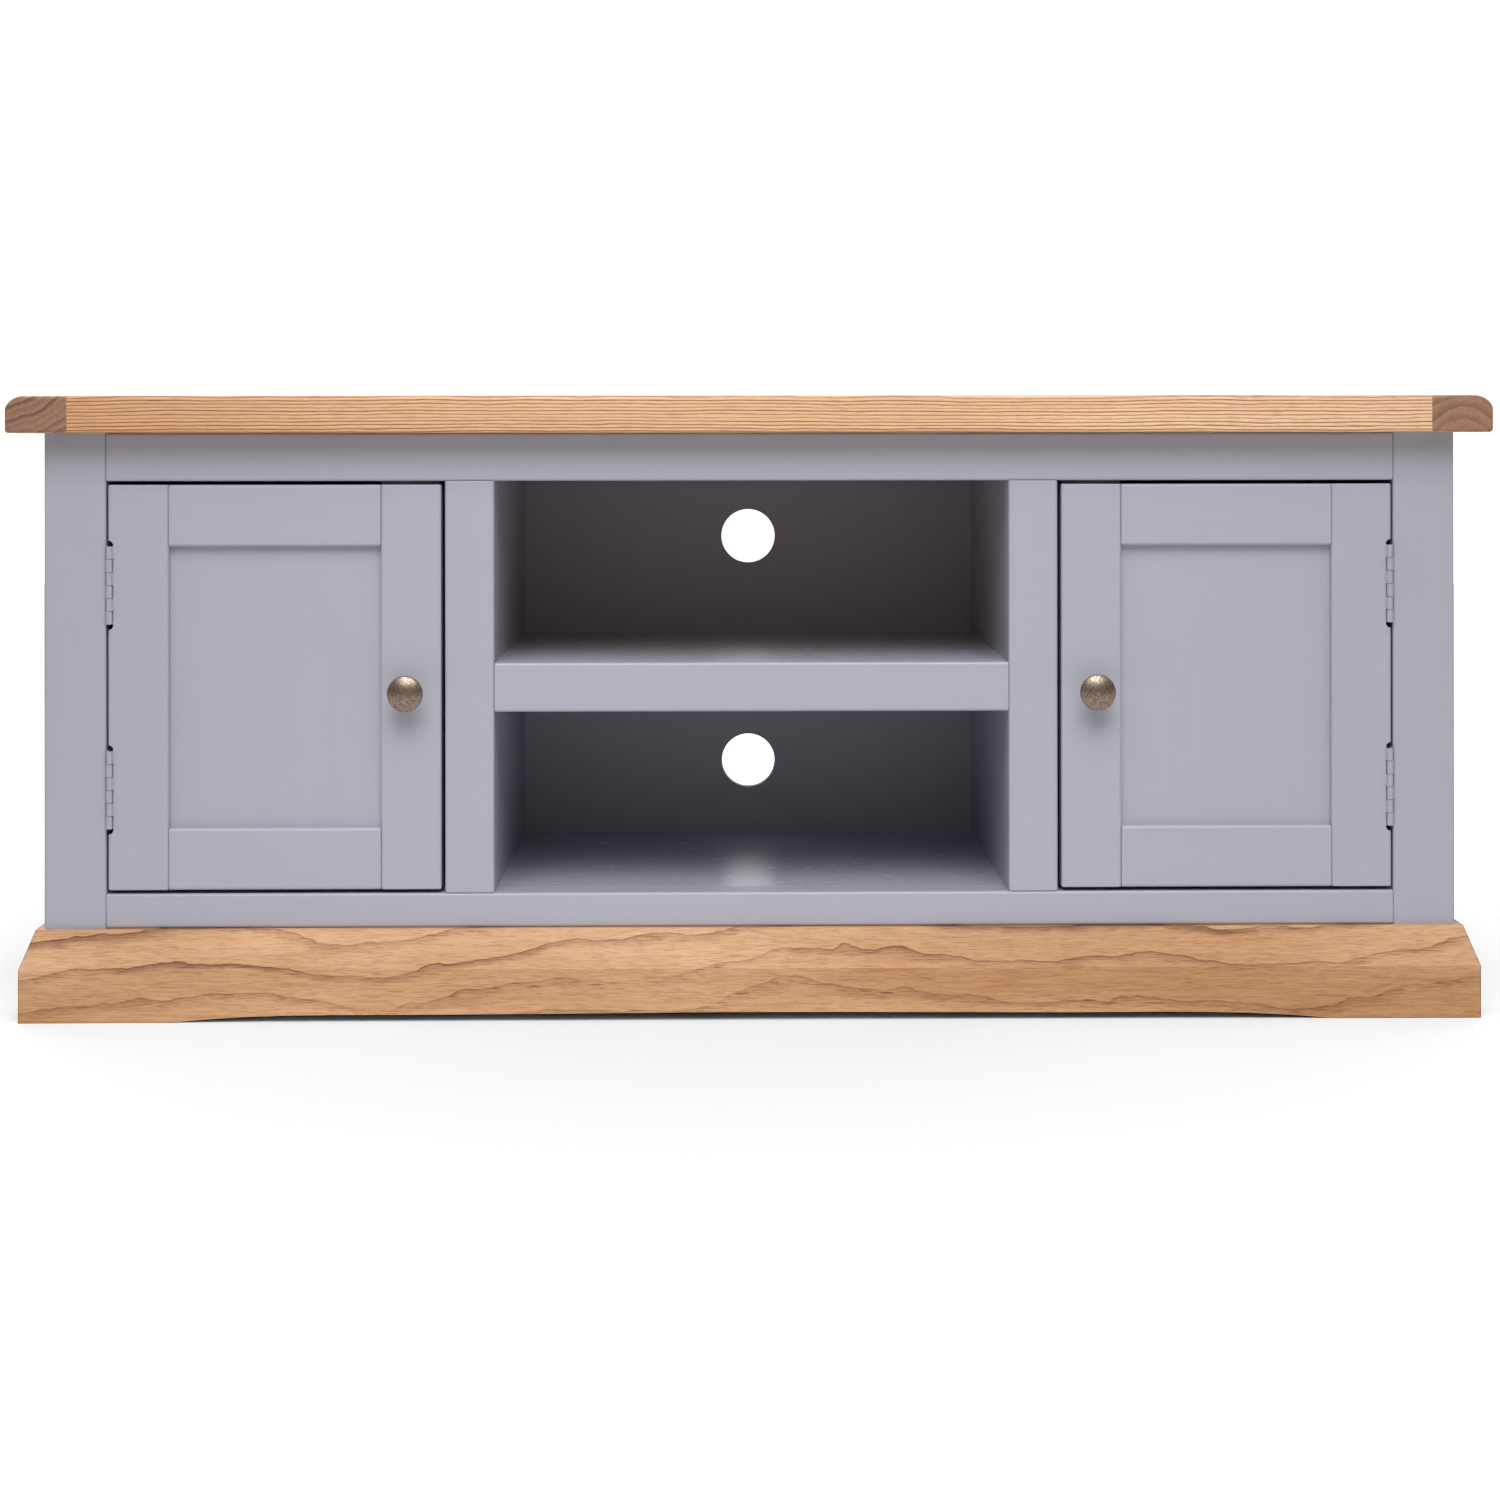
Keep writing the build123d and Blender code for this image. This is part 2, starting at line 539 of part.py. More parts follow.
def knob():
    """A turned mushroom knob with a domed face, drilled from behind for its bolt."""
    foot_r, foot_h, neck_r, rim_h = 7.5, 2.0, 4.6, 18.5
    with BuildPart() as turned:
        with BuildSketch(Plane(origin=(KNOB_X, FRONT, KNOB_Z), x_dir=(1, 0, 0), z_dir=(0, 0, 1))):
            with BuildLine():
                foot = Polyline((0, 0), (foot_r, 0), (foot_r, -foot_h))
                neck = ThreePointArc(foot @ 1, (neck_r, -foot_h - 4.5), (foot_r, -rim_h + 5.5))
                under = ThreePointArc(neck @ 1, (KNOB_R - 3, -rim_h + 2.6), (KNOB_R, -rim_h))
                rim = ThreePointArc(under @ 1, (KNOB_R - 0.3, -rim_h - 1.4), (KNOB_R - 1.6, -rim_h - 2.3))
                TangentArc((0, -KNOB_OUT), rim @ 1, tangent=(1, 0))
                Line((0, -KNOB_OUT), (0, 0))
            make_face()
        revolve(axis=Axis((KNOB_X, FRONT, KNOB_Z), (0, 1, 0)))
        drill([(KNOB_X, FRONT, KNOB_Z)], -Y, BOLT_R + SLIP, BOLT_LENGTH - DOOR_THICK + 1)
    return turned


def knob_bolt():
    """The pan-head bolt that holds the knob from inside the door."""
    low = (Align.CENTER, Align.CENTER, Align.MIN)
    with BuildPart() as bolt:
        with Locations(Plane(origin=(KNOB_X, DOOR_BACK, KNOB_Z), z_dir=-Y)):
            Cylinder(BOLT_R, BOLT_LENGTH, align=low)
        with Locations(Plane(origin=(KNOB_X, DOOR_BACK, KNOB_Z), z_dir=Y)):
            Cylinder(4.5, 2.4, align=low)
        fillet(bolt.faces().sort_by(Axis.Y)[-1].edges(), 1.2)
        with Locations(Plane(origin=(KNOB_X, DOOR_BACK + 2.4, KNOB_Z), z_dir=-Y)):
            Box(4.6, 0.9, 1.4, align=low, mode=Mode.SUBTRACT)
            Box(0.9, 4.6, 1.4, align=low, mode=Mode.SUBTRACT)
    return bolt


def strike_plate():
    wide, thick, high = STRIKE
    with BuildPart() as plate:
        block(
            (-CATCH_X - wide / 2, DOOR_BACK, STRIKE_Z - high / 2),
            (-CATCH_X + wide / 2, DOOR_BACK + thick, STRIKE_Z + high / 2),
        )
        fillet(plate.edges().filter_by(Axis.Y), 2)
        screw_holes(STRIKE_SCREW, -Y, SMALL_SCREW)
    return plate


def door_screws():
    """The screws that move with the left door: both hinges' and the strike plate's."""
    with BuildPart() as group:
        screws(DOOR_LEAF_SCREWS, X, SMALL_SCREW)
        screws(STRIKE_SCREW, -Y, SMALL_SCREW)
    return group


# ---- hinges and catches ---------------------------------------------------------------------------
def hinge_leaves(hand, first, bore_r, heads, direction):
    """The two left hinges' leaves on the post (hand -1) or on the door (hand 1). Every other knuckle,
    counted down from the first, belongs to this leaf."""
    near, far = AXIS_X + hand * LEAF_GAP / 2, AXIS_X + hand * (LEAF_GAP / 2 + LEAF_THICK)
    clear = AXIS_Y + KNUCKLE_R + 0.35
    pitch = HINGE_LENGTH / KNUCKLES
    with BuildPart() as leaves:
        for z in HINGE_Z:
            top = z + HINGE_LENGTH / 2
            block((near, clear, z - HINGE_LENGTH / 2), (far, AXIS_Y + LEAF_WIDTH, top))
            for k in range(first, KNUCKLES, 2):
                high, low = top - k * pitch - KNUCKLE_GAP / 2, top - (k + 1) * pitch + KNUCKLE_GAP / 2
                block((near, AXIS_Y, low), (far, clear, high))
                with Locations((AXIS_X, AXIS_Y, (low + high) / 2)):
                    Cylinder(KNUCKLE_R, high - low)
            drill([(AXIS_X, AXIS_Y, z - HINGE_LENGTH / 2)], Z, bore_r, HINGE_LENGTH)
        screw_holes(heads, direction, SMALL_SCREW)
    return leaves


def hinge_pins():
    """The four hinge pins, held in the leaves on the posts."""
    with BuildPart() as pins:
        for z in HINGE_Z:
            with Locations((AXIS_X, AXIS_Y, z)):
                Cylinder(PIN_R, HINGE_LENGTH)
    return both_sides(pins)


def catch():
    """The left magnetic catch's housing, screwed up under the top rail."""
    wide, deep, high = CATCH_BODY
    top = TOP_RAIL_BOTTOM
    with BuildPart() as housing:
        block((-CATCH_X - wide / 2, CATCH_Y, top - high), (-CATCH_X + wide / 2, CATCH_Y + deep, top))
        fillet(housing.edges().filter_by(Axis.Y).group_by(Axis.Z)[0], 2)
        block(
            (-CATCH_X - CATCH_EAR, CATCH_Y + 2, top - EAR_THICK),
            (-CATCH_X + CATCH_EAR, CATCH_Y + 10, top),
        )
        catch_slot(SLIP, Mode.SUBTRACT)
        screw_holes(CATCH_SCREWS, Z, SMALL_SCREW)
    return housing


def catch_slot(grow, mode):
    """The magnet and its two pole plates, or the slot for them in the housing."""
    top = TOP_RAIL_BOTTOM
    block(
        (-CATCH_X - 9 - grow, CATCH_Y, top - 9.5 - grow),
        (-CATCH_X + 9 + grow, CATCH_Y + 9 + grow, top - 4.5 + grow),
        mode,
    )


def catch_magnets():
    """The steel-faced magnets of both catches."""
    with BuildPart() as magnets:
        catch_slot(0, Mode.ADD)
        chamfer(magnets.faces().sort_by(Axis.Y)[0].edges(), 0.3)
    return both_sides(magnets)


def fixed_small_screws():
    """The small screws that stay with the cabinet: those of the posts' hinge leaves and the catches."""
    with BuildPart() as group:
        screws(FRAME_LEAF_SCREWS, -X, SMALL_SCREW)
        screws(CATCH_SCREWS, Z, SMALL_SCREW)
    return both_sides(group)


def carcass_screws():
    """The long screws of the top, the plinth blocks and the partitions."""
    with BuildPart() as group:
        screws(TOP_SCREWS + BLOCK_SCREWS + PARTITION_SCREWS, Z, LARGE_SCREW)
    return both_sides(group)


def back_screws():
    with BuildPart() as group:
        screws(BACK_SCREWS, -Y, SMALL_SCREW)
    return both_sides(group)


# ---- everything, written out ------------------------------------------------------------------------
os.makedirs("parts", exist_ok=True)

save(top_panel(), "top_panel")
save_pair(top_end(), "top_end_{}")
save(top_cleats(), "top_cleats")

save_pair(front_post(), "front_post_{}")
save_pair(back_post(), "back_post_{}")
save(front_rail(TOP_RAIL_BOTTOM, TOP_UNDER, (TOP_RAIL_BOTTOM, TOP_RAIL_BOTTOM + STUB)), "top_rail_front")
save(front_rail(PLINTH_H, BOTTOM_RAIL_TOP, (BOTTOM_RAIL_TOP - STUB, BOTTOM_RAIL_TOP)), "bottom_rail_front")
save_pair(mid_post(), "mid_post_{}")
save(shelf_rail(), "shelf_rail")
save(back_rail(), "top_rail_back")
low_rail, high_rail = SIDE_RAILS
save_pair(side_rail(*low_rail, (low_rail[1] - PANEL_GROOVE, low_rail[1])), "side_rail_bottom_{}")
save_pair(side_rail(*high_rail, (high_rail[0], high_rail[0] + PANEL_GROOVE)), "side_rail_top_{}")
save_pair(side_panel(), "side_panel_{}")
save_pair(partition(), "partition_{}")
save(shelf_board(), "shelf_board")
save(floor_panel(), "floor_panel")
save(back_panel(), "back_panel")

save(plinth_front(), "plinth_front")
save_pair(plinth_side(), "plinth_{}")
save(plinth_back(), "plinth_back")
save(plinth_corner_blocks(), "plinth_corner_blocks")

save_pair(hinge_stile(), "{}_door_hinge_stile")
save_pair(latch_stile(), "{}_door_latch_stile")
low_edge, high_edge = DOOR_LOW + DOOR_RAIL, DOOR_HIGH - DOOR_RAIL
save_pair(door_rail(DOOR_LOW, low_edge, (low_edge - DOOR_GROOVE, low_edge)), "{}_door_rail_bottom")
save_pair(door_rail(high_edge, DOOR_HIGH, (high_edge, high_edge + DOOR_GROOVE)), "{}_door_rail_top")
save_pair(door_panel(), "{}_door_panel")
save_pair(knob(), "{}_door_knob")
save_pair(knob_bolt(), "{}_door_knob_bolt")
save_pair(strike_plate(), "{}_door_strike_plate")
save_pair(door_screws(), "{}_door_screws")

save_pair(hinge_leaves(-1, 1, PIN_R + PIN_FIT, FRAME_LEAF_SCREWS, -X), "{}_hinge_post_leaves")
save_pair(hinge_leaves(1, 0, PIN_R + PIN_RUN, DOOR_LEAF_SCREWS, X), "{}_hinge_door_leaves")
save(hinge_pins(), "hinge_pins")
save_pair(catch(), "{}_catch_housing")
save(catch_magnets(), "catch_magnets")
save(fixed_small_screws(), "fixed_small_screws")
save(carcass_screws(), "carcass_screws")
save(back_screws(), "back_panel_screws")
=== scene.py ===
"""The looks of the media cabinet: its woods, paint and metals, the studio and the camera.

Lengths are in metres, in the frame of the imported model. Every visible part keeps its CAD shape and
gets a procedural material here. Colours are written as sRGB values from 0 to 255.
"""

import math

import bpy
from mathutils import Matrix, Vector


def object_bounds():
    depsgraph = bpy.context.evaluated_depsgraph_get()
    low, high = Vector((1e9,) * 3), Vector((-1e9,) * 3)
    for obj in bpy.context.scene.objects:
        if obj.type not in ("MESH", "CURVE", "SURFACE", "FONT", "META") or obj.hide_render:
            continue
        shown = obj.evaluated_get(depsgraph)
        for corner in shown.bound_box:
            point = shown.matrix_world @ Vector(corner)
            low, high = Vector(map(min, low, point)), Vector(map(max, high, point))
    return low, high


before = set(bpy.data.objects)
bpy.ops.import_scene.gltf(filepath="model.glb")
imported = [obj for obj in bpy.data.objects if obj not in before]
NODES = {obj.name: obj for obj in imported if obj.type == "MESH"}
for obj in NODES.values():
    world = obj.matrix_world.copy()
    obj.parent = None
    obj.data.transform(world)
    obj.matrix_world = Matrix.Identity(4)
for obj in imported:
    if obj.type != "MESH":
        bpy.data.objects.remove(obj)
CAD_BOX = [list(corner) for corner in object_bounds()]
LOW, HIGH = CAD_BOX

MM = 0.001


# ---- shader building --------------------------------------------------------------------------------
def srgb(red, green, blue):
    """A linear colour from sRGB values of 0 to 255."""

    def linear(value):
        share = value / 255
        if share <= 0.04045:
            return share / 12.92
        return ((share + 0.055) / 1.055) ** 2.4

    return (linear(red), linear(green), linear(blue), 1.0)


def scaled(colour, factor):
    """A linear colour made darker, or lighter where the factor is over 1."""
    return tuple(min(1.0, value * factor) for value in colour[:3]) + (1.0,)


class Field:
    """A value that varies over a surface: a shader output that takes part in arithmetic."""

    def __init__(self, graph, socket):
        self.graph, self.socket = graph, socket

    def __add__(self, other):
        return self.graph.math("ADD", self, other)

    __radd__ = __add__

    def __mul__(self, other):
        return self.graph.math("MULTIPLY", self, other)

    __rmul__ = __mul__

    def __sub__(self, other):
        return self.graph.math("SUBTRACT", self, other)

    def __rsub__(self, other):
        return self.graph.math("SUBTRACT", other, self)

    def __truediv__(self, other):
        return self.graph.math("DIVIDE", self, other)

    def least(self, other):
        return self.graph.math("MINIMUM", self, other)

    def most(self, other):
        return self.graph.math("MAXIMUM", self, other)

    def size(self):
        return self.graph.math("ABSOLUTE", self)

    def part(self):
        return self.graph.math("FRACT", self)

    def whole(self):
        return self.graph.math("FLOOR", self)

    def root(self):
        return self.graph.math("SQRT", self)

    def step(self, low, high):
        """0 below low and 1 above high, smooth in between."""
        node = self.graph.node("ShaderNodeMapRange")
        node.interpolation_type = "SMOOTHSTEP"
        self.graph.feed(node.inputs["Value"], self)
        node.inputs["From Min"].default_value = low
        node.inputs["From Max"].default_value = high
        return Field(self.graph, node.outputs["Result"])


class Graph:
    """A shader's nodes, made a few at a time."""

    def __init__(self, tree):
        self.tree = tree
        self.tree.nodes.clear()
        self.place = self.node("ShaderNodeTexCoord")

    def node(self, kind):
        return self.tree.nodes.new(kind)

    def feed(self, socket, value):
        """Links a Field to a socket, or writes a plain number or colour into it."""
        if isinstance(value, Field):
            self.tree.links.new(value.socket, socket)
        else:
            socket.default_value = value

    def math(self, operation, *values):
        node = self.node("ShaderNodeMath")
        node.operation = operation
        for socket, value in zip(node.inputs, values):
            self.feed(socket, value)
        return Field(self, node.outputs[0])

    def split(self, output):
        """The three parts of one of the texture coordinates."""
        node = self.node("ShaderNodeSeparateXYZ")
        self.tree.links.new(self.place.outputs[output], node.inputs[0])
        return [Field(self, socket) for socket in node.outputs]

    def join(self, *parts):
        node = self.node("ShaderNodeCombineXYZ")
        for socket, value in zip(node.inputs, parts):
            self.feed(socket, value)
        return Field(self, node.outputs[0])

    def noise(self, where, detail=2.0, roughness=0.5, distortion=0.0):
        """Smooth noise from 0 to 1, whose cells are about one unit of where across."""
        node = self.node("ShaderNodeTexNoise")
        node.inputs["Scale"].default_value = 1.0
        node.inputs["Detail"].default_value = detail
        node.inputs["Roughness"].default_value = roughness
        node.inputs["Distortion"].default_value = distortion
        self.feed(node.inputs["Vector"], where)
        return Field(self, node.outputs["Fac"])

    def even(self, axes, cells, detail=2.0, **more):
        """Noise with the same number of cells in a metre each way."""
        return self.noise(self.join(*(axis * cells for axis in axes)), detail, **more)

    def drawn(self, axes, cells, detail=2.0, **more):
        """Noise drawn out along the grain. cells: how many in a metre along it, and across it."""
        along, across, other = axes
        lengthwise, crosswise = cells
        where = self.join(along * lengthwise, across * crosswise, other * crosswise)
        return self.noise(where, detail, **more)

    def random(self, where):
        """A number from 0 to 1 that jumps with each whole value of where."""
        node = self.node("ShaderNodeTexWhiteNoise")
        node.noise_dimensions = "1D"
        self.feed(node.inputs["W"], where)
        return Field(self, node.outputs["Value"])

    def mix(self, share, first, second, blend="MIX"):
        node = self.node("ShaderNodeMix")
        node.data_type = "RGBA"
        node.blend_type = blend
        self.feed(node.inputs[0], share)
        self.feed(node.inputs[6], first)
        self.feed(node.inputs[7], second)
        return Field(self, node.outputs[2])

    def tinted(self, colour, tint):
        """The colour multiplied by a tint."""
        return self.mix(1.0, colour, tint, "MULTIPLY")

    def bump(self, height, distance, strength=1.0, under=None):
        """Relief from a height field of 0 to 1 that stands for distance metres."""
        node = self.node("ShaderNodeBump")
        node.inputs["Strength"].default_value = strength
        node.inputs["Distance"].default_value = distance
        self.feed(node.inputs["Height"], height)
        if under is not None:
            self.feed(node.inputs["Normal"], under)
        return Field(self, node.outputs[0])

    def squareness(self):
        """1 on a face square to the axes, less on a rounded or bevelled edge."""
        x, y, z = self.split("Normal")
        return x.size().most(y.size()).most(z.size())


class Surface(Graph):
    """One material."""

    def __init__(self, name):
        self.material = bpy.data.materials.new(name)
        self.material.use_nodes = True
        super().__init__(self.material.node_tree)
        self.shader = self.node("ShaderNodeBsdfPrincipled")
        output = self.node("ShaderNodeOutputMaterial")
        self.tree.links.new(self.shader.outputs["BSDF"], output.inputs["Surface"])

    def finish(self, colour, roughness, normal=None, **plain):
        """Wires the shader. Plain values go straight into its own sockets."""
        self.feed(self.shader.inputs["Base Color"], colour)
        self.feed(self.shader.inputs["Roughness"], roughness)
        if normal is not None:
            self.feed(self.shader.inputs["Normal"], normal)
        for name, value in plain.items():
            self.shader.inputs[name.replace("_", " ")].default_value = value
        return self.material


def turned(parts, grain):
    """The three coordinates in the order along the grain, then the two across it."""
    along = "XYZ".index(grain)
    return [parts[along]] + [part for index, part in enumerate(parts) if index != along]


# ---- wood ----------------------------------------------------------------------------------------------
# Noise cells in a metre, along the grain and across it.
PORES = (60, 1900)
FIBRES = (22, 420)
FLECKS = (80, 1700)
TONES = (2.2, 14)
PATCHES = (5.0, 30.0)

# Tints over a board's own colour: its streaks, its duller patches and the painted shade on its upright
# faces, its darker end, its sawn ends.
STREAK_TINT = srgb(196, 158, 124)
PATCH_AND_SHADE_TINT = srgb(238, 234, 224)
DEEP_TINT = srgb(237, 225, 211)
SAWN_TINT = srgb(200, 180, 165)

SAWN_LINE = srgb(92, 62, 45)  # the dark lines in a sawn end

PORE_DEPTH = 0.12 * MM
FIBRE_DEPTH = 0.10 * MM

# How far the pith moves from board to board of a glued-up panel, across and up, and the length of
# tree that the boards are taken from.
PITH_SWAY = 0.16
PITH_LIFT = 0.07
TREE_LENGTH = 7.0


def board_by_board(graph, axes, pith, width, edge):
    """The axes and the pith of whichever board of a glued-up panel a point lies in. What is added to
    the board's index keeps its two draws apart."""
    along, across, other = axes
    index = ((across - edge) / width).whole()
    sway = graph.random(index + 3.7)
    lift = graph.random(index + 11.3)
    middle = edge + width * 0.5 + index * width
    own_pith = (middle + (sway - 0.5) * PITH_SWAY, pith[1] + (lift - 0.5) * PITH_LIFT)
    return (along + lift * TREE_LENGTH, across, other), own_pith


def rings(graph, axes, pith, spacing, warps):
    """How many growth rings a point lies out from the pith: a wandering line along the grain."""
    a, b = axes[1] - pith[0], axes[2] - pith[1]
    distance = (a * a + b * b).root()
    for amount, lengthwise, crosswise in warps:
        distance = distance + graph.drawn(axes, (lengthwise, crosswise)) * amount
    return distance / spacing


def ring_wood(
    name, grain, palette, pith, spacing, warps, line=0.09, band=0.42, contrast=1.0, soft=0.75,
    flecks=0.35, patchy=0.0, calm_and_shade=0.0, boards=None, deep=None,
):
    """Lacquered open-pored wood. Each growth ring starts with a sharp dark line of pores and fades
    through a band into pale late wood.

    palette: pale wood, its warmer tone, the dark lines, end grain and the end grain's pale bands.
    pith: where the rings' centre lies across the grain. spacing: from one ring to the next.
    warps: how the rings wander, each an amount and its noise cells in a metre along and across.
    line, band: the share of a ring that its dark line takes, and where its fading band ends.
    contrast, soft, flecks: how strong the lines, the bands and the fine streaks are.
    patchy: how far the figure comes and goes in duller patches.
    calm_and_shade: how much of the figure is lost, and how much painted shade darkens it, on a face that
    does not slope upwards.
    boards: the width of the boards of a glued-up panel, and where the first one starts.
    deep: where along the grain it is darkest, and where it is back to the board's own colour.
    """
    pale, warm, dark, end, end_pale = palette
    graph = Surface(name)
    axes = turned(graph.split("Object"), grain)
    place = axes[0]
    if boards:
        axes, pith = board_by_board(graph, axes, pith, *boards)
    count = rings(graph, axes, pith, spacing, warps)
    phase = count.part()
    ring_luck = graph.random(count.whole() + 0.5)
    fade = 1.0 - phase.step(line * 0.7, band)
    edge_line = ((1.0 - phase.step(0.0, line)) + phase.step(1.0 - line * 0.35, 1.0)).least(1.0)
    pores = graph.drawn(axes, PORES, detail=1.0).step(0.56, 0.70)
    fibres = graph.drawn(axes, FIBRES, detail=3.0, roughness=0.6)
    streaked = fibres.step(0.40, 0.72)
    flecked = graph.drawn(axes, FLECKS, roughness=0.6).step(0.50, 0.68)
    tones = graph.drawn(axes, TONES).step(0.3, 0.7)
    patches = graph.drawn(axes, PATCHES, detail=3.0).step(0.36, 0.62)
    # Faces that do not slope upwards: their figure is calmed, and they take a darker tint as painted shade.
    upright = (1.0 - graph.split("Normal")[2].step(0.15, 0.35)) * calm_and_shade

    # The faces along the grain.
    weight = (ring_luck * 0.6 + 0.4) * contrast * (patches * patchy + (1.0 - patchy))
    weight = weight * (1.0 - upright)
    body = graph.mix(tones, pale, warm)
    # Duller patches, and painted shade on the faces that do not slope upwards.
    body = graph.mix((patches * patchy + upright).least(1.0), body, graph.tinted(body, PATCH_AND_SHADE_TINT))
    body = graph.mix((fade * weight * soft).least(1.0), body, dark)
    body = graph.mix((edge_line * weight * (fibres * 0.7 + 0.55)).least(1.0), body, dark)
    shade = graph.tinted(body, STREAK_TINT)
    body = graph.mix(streaked * flecks * 0.5, body, shade)
    body = graph.mix(flecked * flecks, body, shade)
    body = graph.mix(pores * (fade * 0.55 + 0.16) * contrast, body, dark)
    if deep:
        body = graph.mix(1.0 - place.step(*deep), body, graph.tinted(body, DEEP_TINT))

    # The sawn ends.
    facing = turned(graph.split("Normal"), grain)[0].size().step(0.55, 0.85)
    sawn = graph.mix(fade * (ring_luck * 0.7 + 0.3), end_pale, end)
    sawn = graph.mix(streaked * 0.35, sawn, graph.tinted(sawn, SAWN_TINT))
    sawn = graph.mix(edge_line * ring_luck * contrast * 0.6, sawn, SAWN_LINE)

    colour = graph.mix(facing, body, sawn)
    relief = graph.bump(1.0 - pores * 0.6 - edge_line * 0.5, PORE_DEPTH, 0.5)
    relief = graph.bump(fibres, FIBRE_DEPTH, 0.35, relief)
    roughness = fibres * 0.16 + pores * 0.14 + facing * 0.12 + 0.36
    return graph.finish(colour, roughness, relief, Specular_IOR_Level=0.38)


# Each palette: pale wood, its warmer tone, the dark lines, end grain and the end grain's pale bands.
OAK = (srgb(253, 211, 170), srgb(241, 195, 152), srgb(160, 102, 64), srgb(132, 97, 78), srgb(160, 121, 97))
CAP_FACES = (srgb(222, 178, 136), srgb(196, 145, 104), srgb(150, 100, 66))
CAP_LEFT = CAP_FACES + (srgb(120, 88, 71), srgb(164, 126, 101))
CAP_RIGHT = CAP_FACES + (srgb(140, 106, 88), srgb(172, 128, 98))
ASH = (srgb(233, 188, 146), srgb(212, 163, 119), srgb(120, 74, 41), srgb(150, 110, 84), srgb(176, 136, 106))
PINE_FACES = (srgb(226, 190, 140), srgb(216, 176, 124), srgb(182, 128, 78))
PINE = PINE_FACES + (srgb(190, 146, 98), srgb(214, 176, 126))


def plinth_wood(name, grain, pith):
    """The plinth's flat-sawn boards: a few long, wandering rings with a soft brown band below each,
    fainter on the upright face than on the bevel and tinted darker there as painted shade."""
    warps = (
        (0.15, 2.3, 2.0),
        (0.042, 6.5, 12.0),
        (0.015, 15.0, 26.0),
        (0.005, 50.0, 60.0),
        (0.0018, 150.0, 180.0),
    )
    return ring_wood(
        name, grain, ASH, pith, 0.028, warps,
        line=0.055, band=0.30, contrast=1.6, soft=0.5, flecks=0.55, patchy=0.6, calm_and_shade=0.4,
    )


# ---- paint ---------------------------------------------------------------------------------------------
# Noise cells in a metre: along the streaks and across them, then the same each way.
BROAD = (3.0, 24.0)
BRUSHED = (9.0, 330.0)
SPOTS = 90
PEEL = 700

BRUSHED_DEPTH = 0.04 * MM
PEEL_DEPTH = 0.03 * MM


def paint(name, grain, colour, rough=0.36, streak=0.3, dents=0.07):
    """Sprayed satin paint over closely sanded wood: faint streaks along the grain, a fine orange
    peel, and shinier arrises painted a little lighter, a painted highlight as well as a thinner coat."""
    graph = Surface(name)
    axes = turned(graph.split("Object"), grain)
    broad = graph.drawn(axes, BROAD, detail=3.0, roughness=0.55)
    brushed = graph.drawn(axes, BRUSHED, detail=3.0, roughness=0.6)
    spots = graph.even(axes, SPOTS, detail=3.0)
    peel = graph.even(axes, PEEL)
    arris_wear_and_highlight = 1.0 - graph.squareness().step(0.90, 0.995)
    darker = scaled(colour, 0.975)
    lighter = scaled(colour, 1.015)
    tint = graph.mix(broad.step(0.1, 0.9), darker, colour)
    tint = graph.mix(brushed.step(0.35, 0.70) * streak, tint, lighter)
    tint = graph.mix(spots.step(0.60, 0.78) * 0.2, tint, darker)
    # Rounded arrises are tinted a little lighter: a painted highlight, partly a thinner coat.
    tint = graph.mix(arris_wear_and_highlight * spots.step(0.35, 0.70) * 0.5, tint, lighter)
    relief = graph.bump(brushed, BRUSHED_DEPTH, dents)
    relief = graph.bump(peel, PEEL_DEPTH, dents, relief)
    roughness = brushed * 0.10 + spots * 0.08 - arris_wear_and_highlight * 0.05 + (rough - 0.08)
    return graph.finish(tint, roughness, relief, Specular_IOR_Level=0.45)


# ---- metals and plastic ----------------------------------------------------------------------------------
# Noise cells in a metre.
METAL_SPECKS = 1500
SPARK_GRAIN = 2200
CLOUDS = 130

TARNISH_DEPTH = 0.06 * MM
SPECK_DEPTH = 0.02 * MM
SPARK_DEPTH = 0.03 * MM


def metal(name, colour, tarnish, rough, stain=0.5, grain=260.0, worn=0.0):
    """Metal with a blotchy tarnish, which is rubbed back to bright metal on its arrises when worn."""
    graph = Surface(name)
    axes = graph.split("Object")
    blotch = graph.even(axes, grain, detail=4.0, roughness=0.62, distortion=0.4)
    speck = graph.even(axes, METAL_SPECKS)
    rub = (1.0 - graph.squareness().step(0.80, 0.97)) * speck.step(0.40, 0.60) * worn
    share = blotch.step(0.36, 0.64) * stain
    tint = graph.mix(share, colour, tarnish)
    tint = graph.mix(rub, tint, colour)
    relief = graph.bump(blotch, TARNISH_DEPTH, 0.3)
    relief = graph.bump(speck, SPECK_DEPTH, 0.3, relief)
    return graph.finish(tint, share * 0.14 + speck * 0.08 + rough, relief, Metallic=1.0)


def plastic(name, colour):
    """Moulded plastic with a fine spark-eroded grain."""
    graph = Surface(name)
    axes = graph.split("Object")
    grain = graph.even(axes, SPARK_GRAIN)
    cloud = graph.even(axes, CLOUDS, detail=3.0)
    tint = graph.mix(cloud.step(0.35, 0.7) * 0.4, colour, scaled(colour, 0.86))
    return graph.finish(tint, grain * 0.15 + 0.42, graph.bump(grain, SPARK_DEPTH, 0.5))


# ---- the materials of every node ----------------------------------------------------------------------
PAINT = srgb(178, 178, 190)
# A darker copy of the paint for the bays' side walls: painted shade.
SHADED_INNER = srgb(170, 169, 181)
# A lighter copy of the paint for the shelf, the floor and the back top rail: painted light.
LIT_SHELF = srgb(184, 184, 197)
BACK = srgb(176, 171, 178)
HINGE = srgb(176, 176, 188)

